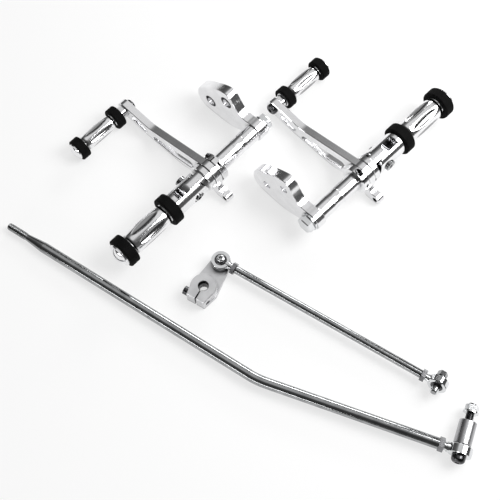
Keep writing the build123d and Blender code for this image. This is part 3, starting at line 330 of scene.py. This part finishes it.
def make_metal(name, metal, *barrel_place):
    """Metal with patchy polish, faint handling marks, a very fine grain and painted shade in its crevices.

    A peg's metal also gets its barrel, and the barrel's middle and axis, for painted shade in its flutes."""
    material, tree, shader, vector = new_material(name)
    shader.inputs["Metallic"].default_value = 1.0
    patches = add_noise(tree, vector, METAL_PATCHES, 3.0)
    marks = add_noise(tree, vector, METAL_MARKS, 6.0)
    grain = add_noise(tree, vector, METAL_GRAIN, 2.0)
    color = add_ramp(tree, patches, [(METAL_PATCH_LOW, metal.dark), (METAL_PATCH_HIGH, metal.light)])
    if barrel_place:
        # Painted shade in the flutes of a peg's barrel.
        color = add_painted_flute_shade(tree, vector, color, *barrel_place)
    # Painted shade in crevices, slots and near the table darkens the base colour.
    tree.links.new(add_painted_crevice_shade(tree, color), shader.inputs["Base Color"])
    roughness = add_range(tree, marks, metal.rough_low, metal.rough_high)
    tree.links.new(roughness, shader.inputs["Roughness"])
    add_bump(tree, shader, grain, metal.bump, METAL_RELIEF)
    return material


def make_rubber(name):
    """Matte black rubber with a fine moulded grain and faint dusty patches."""
    material, tree, shader, vector = new_material(name)
    shader.inputs["Specular IOR Level"].default_value = RUBBER_SPECULAR
    patches = add_noise(tree, vector, RUBBER_PATCHES, 4.0)
    grain = add_noise(tree, vector, RUBBER_GRAIN, 4.0)
    tree.links.new(add_ramp(tree, patches, gray_steps(RUBBER_SHADES)), shader.inputs["Base Color"])
    tree.links.new(add_range(tree, grain, *RUBBER_ROUGHNESS), shader.inputs["Roughness"])
    add_bump(tree, shader, grain, RUBBER_BUMP, RUBBER_RELIEF)
    return material


materials = {name: make_metal(name, metal) for name, metal in SLOT_METALS.items()}
materials["black_rubber"] = make_rubber("black_rubber")


def dress_solids():
    """Give every CAD node its own finish, or else the one of its material slot."""
    finish_of = {}
    for finish, nodes in FINISH_NODES.items():
        finish_of.update(dict.fromkeys(nodes, make_metal(finish, FINISH_METALS[finish])))
    for entry in frame["record"]["subparts"]:
        node = frame["nodes"][entry["node"]]
        node.data.materials.clear()
        node.data.materials.append(finish_of.get(entry["node"], materials[entry["material_slot"]]))


# Places in the frame

def joint_line(name):
    """A point on a joint's axis and the axis's direction."""
    joint = JOINTS[name]
    return Vector(joint["pos_m"]), Vector(joint["axis"]).normalized()


def span_along(node, origin, axis):
    """Lowest and highest distance of a node's vertices from origin along axis."""
    places = [(vertex.co - origin).dot(axis) for vertex in frame["nodes"][node].data.vertices]
    return min(places), max(places)


def shaft_line(side):
    """A point on a control's shaft axis and the direction from there to its mount plate."""
    origin, axis = joint_line(side + "_pedal_swing")
    if span_along(side + "_mount_plate", origin, axis)[0] < 0:
        axis = -axis
    return origin, axis


def round_axis(origin, axis):
    """A function that gives the place at an angle, a reach and a height round an axis."""
    frame_on_axis = Matrix.Translation(origin) @ axis.to_track_quat("Z", "Y").to_matrix().to_4x4()

    def place(angle, reach, height):
        return frame_on_axis @ Vector((reach * math.cos(angle), reach * math.sin(angle), height))

    return place


# Building blocks of the added pieces

def piece_from(builder, name, body, slot, finish=None):
    """Turn a bmesh into a piece that rides on a body, in its slot's look or a finish of its own."""
    mesh = bpy.data.meshes.new(name)
    builder.to_mesh(mesh)
    builder.free()
    piece = bpy.data.objects.new(name, mesh)
    bpy.context.scene.collection.objects.link(piece)
    for face in mesh.polygons:
        face.use_smooth = True
    mesh.materials.append(finish or materials[slot])
    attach(piece, body)
    return piece


def neighbours(row):
    """Each item of a closed row with the one after it."""
    return zip(row, row[1:] + row[:1])


def bridge(builder, first, second):
    """Faces between two closed rows of vertices of the same count."""
    return [builder.faces.new((here, after, beyond_after, beyond))
            for (here, after), (beyond, beyond_after) in zip(neighbours(first), neighbours(second))]


def bridge_all(builder, rows):
    """Faces between each row and the next."""
    return [face for first, second in zip(rows, rows[1:]) for face in bridge(builder, first, second)]


def close_face(builder, rows):
    """Flat face between an outline and its holes."""
    edges = [builder.edges.get(pair) or builder.edges.new(pair)
             for row in rows for pair in neighbours(row)]
    bmesh.ops.triangle_fill(builder, edges=edges, use_beauty=True)


def smooth_loop(points, steps):
    """Closed curve that runs through all the points."""
    count = len(points)
    curve = []
    for number in range(count):
        before, here, after, beyond = (Vector(points[(number + shift) % count])
                                       for shift in (-1, 0, 1, 2))
        for step in range(steps):
            share = step / steps
            curve.append((2 * here + (after - before) * share
                          + (2 * before - 5 * here + 4 * after - beyond) * share ** 2
                          + (3 * here - before - 3 * after + beyond) * share ** 3) / 2)
    return curve


def inset_loop(points, amount):
    """The same closed curve, moved inward; the points run clockwise."""
    moved = []
    for number, here in enumerate(points):
        run = (points[(number + 1) % len(points)] - points[number - 1]).normalized()
        moved.append(here + amount * Vector((run.y, -run.x)))
    return moved


def circle_loop(middle, radius):
    """Circle in the plate's plane."""
    angles = [FULL_TURN * step / PLATE_HOLE_STEPS for step in range(PLATE_HOLE_STEPS)]
    return [middle + radius * Vector((math.cos(angle), math.sin(angle))) for angle in angles]


# Threads, splines and turned pieces

def add_thread(name, origin, axis, start, end, radius, body, slot):
    """A helical ridge round a plain shank, from start to end along axis."""
    steps = int((end - start - THREAD_PITCH) / THREAD_PITCH * THREAD_STEPS_A_TURN)
    place = round_axis(origin, axis)
    root = radius - THREAD_SINK
    builder = bmesh.new()
    rows = []
    for step in range(steps + 1):
        turns = step / THREAD_STEPS_A_TURN
        height = start + THREAD_PITCH / 2 + THREAD_PITCH * turns
        fade = min(1.0, step / THREAD_FADE_STEPS, (steps - step) / THREAD_FADE_STEPS)
        crest = radius + THREAD_DEPTH * fade
        profile = ((root, -THREAD_ROOT_HALF), (crest, -THREAD_CREST_HALF),
                   (crest, THREAD_CREST_HALF), (root, THREAD_ROOT_HALF))
        rows.append([builder.verts.new(place(FULL_TURN * turns, reach, height + rise * THREAD_PITCH))
                     for reach, rise in profile])
    bridge_all(builder, rows)
    builder.faces.new(rows[0][::-1])
    builder.faces.new(rows[-1])
    bmesh.ops.recalc_face_normals(builder, faces=builder.faces)
    piece_from(builder, name, body, slot)


def add_lathe(name, origin, axis, profile, body, slot):
    """A turned ring: profile is a closed line of (reach, height) round axis."""
    place = round_axis(origin, axis)
    builder = bmesh.new()
    rings = [[builder.verts.new(place(FULL_TURN * step / LATHE_STEPS, reach, height))
              for reach, height in profile] for step in range(LATHE_STEPS)]
    bridge_all(builder, rings + rings[:1])
    bmesh.ops.recalc_face_normals(builder, faces=builder.faces)
    piece_from(builder, name, body, slot)


def add_splines(name, origin, length, radius, slit_turn, body, slot):
    """Toothed lining of an upright bore, open at the slit."""
    tooth_width = FULL_TURN / SPLINE_COUNT
    lining = radius + SPLINE_LINING
    root = radius - SPLINE_ROOT_DEPTH
    crest = radius - SPLINE_DEPTH
    tooth_profile = ((-SPLINE_ROOT_HALF, root), (-SPLINE_CREST_HALF, crest),
                     (SPLINE_CREST_HALF, crest), (SPLINE_ROOT_HALF, root))
    low = origin.z - length / 2
    high = origin.z + length / 2 - SPLINE_TOP_GAP
    builder = bmesh.new()
    columns = []
    for tooth in range(SPLINE_COUNT):
        for share, reach in tooth_profile:
            angle = (tooth + share) * tooth_width
            east, north = math.cos(angle), math.sin(angle)
            columns.append((angle, [
                builder.verts.new((origin.x + out * east, origin.y + out * north, height))
                for out, height in ((reach, low), (reach, high), (lining, high), (lining, low))]))
    for (angle, column), (angle_after, column_after) in neighbours(columns):
        middle = (angle + angle_after) / 2
        if abs(math.remainder(middle - slit_turn, FULL_TURN)) >= SLIT_HALF_ANGLE:
            bridge(builder, column, column_after)
    loose = [vertex for vertex in builder.verts if not vertex.link_faces]
    bmesh.ops.delete(builder, geom=loose, context="VERTS")
    bmesh.ops.recalc_face_normals(builder, faces=builder.faces)
    piece_from(builder, name, body, slot)


def add_waist_scoop(side):
    """Shallow turned hollow that rounds off the shaft's waist."""
    origin, axis = shaft_line(side)
    start = span_along(side + "_clamp_collar", origin, axis)[1] + SCOOP_START
    profile = []
    for step in range(SCOOP_STEPS + 1):
        share = step / SCOOP_STEPS
        hollow = SCOOP_DEPTH * math.sin(math.pi * share) ** 2
        profile.append((SHAFT_RADIUS - hollow, start + SCOOP_LENGTH * share))
    profile.append((SCOOP_INSIDE, start + SCOOP_LENGTH))
    profile.append((SCOOP_INSIDE, start))
    add_lathe(side + "_waist_scoop", origin, axis, profile, "set", "polished_aluminium")


# Mount plates and pegs

def add_leaf_plate(side):
    """Mount plate with its flowing outline, broken edges and counterbored holes."""
    node = side + "_mount_plate"
    origin, axis = shaft_line(side)
    outer, inner = span_along(node, origin, axis)
    across = axis.cross(UP)
    if span_along(node, origin, across)[1] < span_along(node, origin, -across)[1]:
        across = -across
    builder = bmesh.new()

    def row(points, depth):
        return [builder.verts.new(origin + axis * depth + (across * point.x + UP * point.y) * MM)
                for point in points]

    outline = smooth_loop(PLATE_OUTLINE, PLATE_CURVE_STEPS)
    trimmed = inset_loop(outline, PLATE_EDGE_BREAK / MM)
    rim = [row(trimmed, outer), row(outline, outer + PLATE_EDGE_BREAK),
           row(outline, inner - PLATE_EDGE_BREAK), row(trimmed, inner)]
    walls = [rim]
    direction = Vector((math.cos(PLATE_HOLE_ANGLE), math.sin(PLATE_HOLE_ANGLE)))
    spread = direction * PLATE_HOLE_SPACING / 2
    ledge = outer + PLATE_COUNTERBORE_DEPTH
    for middle in (PLATE_HOLES_MIDDLE + spread, PLATE_HOLES_MIDDLE - spread):
        wide = circle_loop(middle, PLATE_COUNTERBORE)
        narrow = circle_loop(middle, PLATE_HOLE)
        walls.append([row(wide, outer), row(wide, ledge), row(narrow, ledge), row(narrow, inner)])
    bolt_hole = circle_loop(Vector((0, 0)), PLATE_BOLT_HOLE)
    walls.append([row(bolt_hole, outer), row(bolt_hole, inner)])
    for wall in walls:
        bridge_all(builder, wall)
    close_face(builder, [wall[0] for wall in walls])
    close_face(builder, [wall[-1] for wall in walls])
    bmesh.ops.recalc_face_normals(builder, faces=builder.faces)
    plate = piece_from(builder, side + "_leaf_plate", "set", "polished_aluminium")
    plate.data.set_sharp_from_angle(angle=PLATE_SHARP_ANGLE)
    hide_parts(node)


def barrel_reach(barrel, along, around):
    """Radius of the crowned barrel with its lens-shaped flutes and the necks beside its rings."""
    share = along / barrel.half
    neck = math.exp(-((abs(along) - NECK_SHARE * barrel.half) / NECK_WIDTH) ** 2)
    reach = barrel.crown - (barrel.crown - barrel.core) * share ** 2
    reach -= barrel.core * NECK_DEPTH_SHARE * neck
    depth = barrel.flute_depth * (1 - (share / FLUTE_RUN) ** 2)
    if depth <= 0:
        return reach
    tube = (barrel.flute_width ** 2 / 4 + barrel.flute_depth ** 2) / (2 * barrel.flute_depth)
    tube_middle = barrel.crown - depth + tube
    turn = math.remainder(around, FULL_TURN / FLUTES)
    rest = tube ** 2 - (tube_middle * math.sin(turn)) ** 2
    if rest <= 0:
        return reach
    floor = tube_middle * math.cos(turn) - math.sqrt(rest)
    if floor >= reach + FLUTE_ROUNDING_REACH:
        return reach
    return (reach + floor - math.sqrt((reach - floor) ** 2 + FLUTE_EDGE_ROUNDING)) / 2


def add_fluted_peg(side, barrel):
    """The peg's own fork and ends with a finely scooped barrel between its rubber rings."""
    node = side + barrel.kind
    low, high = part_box(node + "_rings")
    middle = (Vector(low) + Vector(high)) / 2
    axis = shaft_line(side)[1]
    across = axis.cross(UP).normalized()
    builder = bmesh.new()
    builder.from_mesh(frame["nodes"][node].data)

    def on_barrel(vertex):
        offset = vertex.co - middle
        along = offset.dot(axis)
        reach = (offset - axis * along).length
        return (abs(along) < (barrel.half + BARREL_END_SLACK) * MM
                and reach > (barrel.core - BARREL_CORE_SLACK) * MM)

    old = [face for face in builder.faces if all(on_barrel(vertex) for vertex in face.verts)]
    bmesh.ops.delete(builder, geom=old, context="FACES")
    rows = []
    for station in range(BARREL_STEPS_ALONG + 1):
        along = barrel.half * (2 * station / BARREL_STEPS_ALONG - 1)
        row = []
        for step in range(BARREL_STEPS_AROUND):
            around = FULL_TURN * step / BARREL_STEPS_AROUND
            reach = barrel_reach(barrel, along, around - FLUTE_TURN[side])
            outward = across * math.cos(around) + UP * math.sin(around)
            row.append(builder.verts.new(middle + (axis * along + outward * reach) * MM))
        rows.append(row)
    skin = bridge_all(builder, rows)
    sample = skin[0]
    sample.normal_update()
    away = sample.calc_center_median() - middle
    if sample.normal.dot(away - axis * away.dot(axis)) < 0:
        bmesh.ops.reverse_faces(builder, faces=skin)
    # The peg's own material carries painted shade in its flutes.
    finish = make_metal(node + "_metal_with_painted_shade", SLOT_METALS["polished_aluminium"],
                        barrel, middle / MM, axis)
    peg = piece_from(builder, node + "_fluted", side + barrel.body, "polished_aluminium", finish)
    peg.data.set_sharp_from_angle(angle=PEG_SHARP_ANGLE)
    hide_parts(node)


def add_machine_detail():
    """Threads on the bare shanks, splines in the lever's bore, waists, plates and pegs."""
    stub = MOUNTS["brake_stub"]
    stub_half = stub["dims"]["length_mm"] * MM / 2
    add_thread("brake_stub_thread", Vector(stub["pos_m"]), Vector(stub["axis"]),
               STUB_THREAD_SETBACK - stub_half, stub_half, stub["dims"]["r_mm"] * MM,
               "set", "plated_steel")
    origin, axis = joint_line("brake_bolt_turn")
    spacer_end = span_along("brake_spacer", origin, axis)[1]
    nut_start = span_along("brake_flange_nut", origin, axis)[0]
    add_thread("brake_bolt_thread", origin, axis, spacer_end, nut_start, BRAKE_BOLT_RADIUS,
               "brake_bolt_group", "dark_steel")
    bore = MOUNTS["shift_shaft_bore"]
    # The splines are real, but they are dark steel so that the deep bore reads black: painted shade.
    add_splines("lever_splines_painted_shade", Vector(bore["pos_m"]), bore["dims"]["length_mm"] * MM,
                bore["dims"]["r_mm"] * MM, LEVER_SLIT_TURN, "lever_group", "dark_steel")
    for side in SIDES:
        add_waist_scoop(side)
        add_leaf_plate(side)
        for barrel in PEG_BARRELS:
            add_fluted_peg(side, barrel)


# Studio

def make_floor():
    """Pale table; part of its white is its own, so that it stays white under soft light."""
    bpy.ops.mesh.primitive_plane_add(size=FLOOR_SIZE, location=(0, 0, FLOOR_HEIGHT))
    floor = bpy.context.object
    floor.name = "floor"
    material = bpy.data.materials.new("floor_white")
    material.use_nodes = True
    tree = material.node_tree
    shader = tree.nodes["Principled BSDF"]
    shader.inputs["Base Color"].default_value = (*gray(FLOOR_COLOR), 1)
    shader.inputs["Roughness"].default_value = FLOOR_ROUGHNESS
    shader.inputs["Specular IOR Level"].default_value = FLOOR_SPECULAR
    glow = tree.nodes.new("ShaderNodeEmission")
    glow.inputs["Strength"].default_value = FLOOR_GLOW
    rays = tree.nodes.new("ShaderNodeLightPath")
    seen = rays.outputs["Is Camera Ray"]
    for kind in ("Is Glossy Ray", "Is Transmission Ray"):
        seen = add_math(tree, "MAXIMUM", seen, rays.outputs[kind])
    mix = tree.nodes.new("ShaderNodeMixShader")
    tree.links.new(add_math(tree, "MULTIPLY", seen, FLOOR_OWN_WHITE), mix.inputs["Fac"])
    tree.links.new(shader.outputs["BSDF"], mix.inputs[1])
    tree.links.new(glow.outputs["Emission"], mix.inputs[2])
    tree.links.new(mix.outputs["Shader"], tree.nodes["Material Output"].inputs["Surface"])
    floor.data.materials.append(material)


def make_world():
    """Studio: a bright cloth overhead, dark walls, so that polished metal has contrast."""
    world = bpy.data.worlds.new("studio")
    bpy.context.scene.world = world
    world.use_nodes = True
    tree = world.node_tree
    background = tree.nodes["Background"]
    directions = tree.nodes.new("ShaderNodeTexCoord").outputs["Generated"]
    closeness = add_vector_math(tree, "DOT_PRODUCT", directions, CLOTH_DIRECTION)
    tree.links.new(add_ramp(tree, closeness, gray_steps(WORLD_RINGS)), background.inputs["Color"])
    background.inputs["Strength"].default_value = WORLD_STRENGTH


def aim(thing, direction):
    """Turn a lamp or a camera to look along a direction."""
    thing.rotation_euler = direction.to_track_quat("-Z", "Y").to_euler()


def add_lamp(lamp):
    """A rectangular area lamp that points at its target."""
    data = bpy.data.lights.new(lamp.name, "AREA")
    data.energy = lamp.power
    data.shape = "RECTANGLE"
    data.size, data.size_y = lamp.size
    light = bpy.data.objects.new(lamp.name, data)
    light.location = lamp.place
    aim(light, Vector(lamp.target) - Vector(lamp.place))
    bpy.context.scene.collection.objects.link(light)


def make_camera():
    """The photograph's camera."""
    data = bpy.data.cameras.new("camera")
    data.lens = CAMERA_LENS
    data.sensor_width = CAMERA_SENSOR
    data.clip_end = CAMERA_FAR
    camera = bpy.data.objects.new("camera", data)
    backward = Vector((0, -math.cos(CAMERA_ELEVATION), math.sin(CAMERA_ELEVATION)))
    camera.location = CAMERA_TARGET + backward * CAMERA_DISTANCE
    aim(camera, -backward)
    bpy.context.scene.collection.objects.link(camera)
    bpy.context.scene.camera = camera


dress_solids()
add_machine_detail()
make_floor()
make_world()
for lamp in LAMPS:
    add_lamp(lamp)
make_camera()
bpy.context.scene.view_settings.view_transform = "Standard"
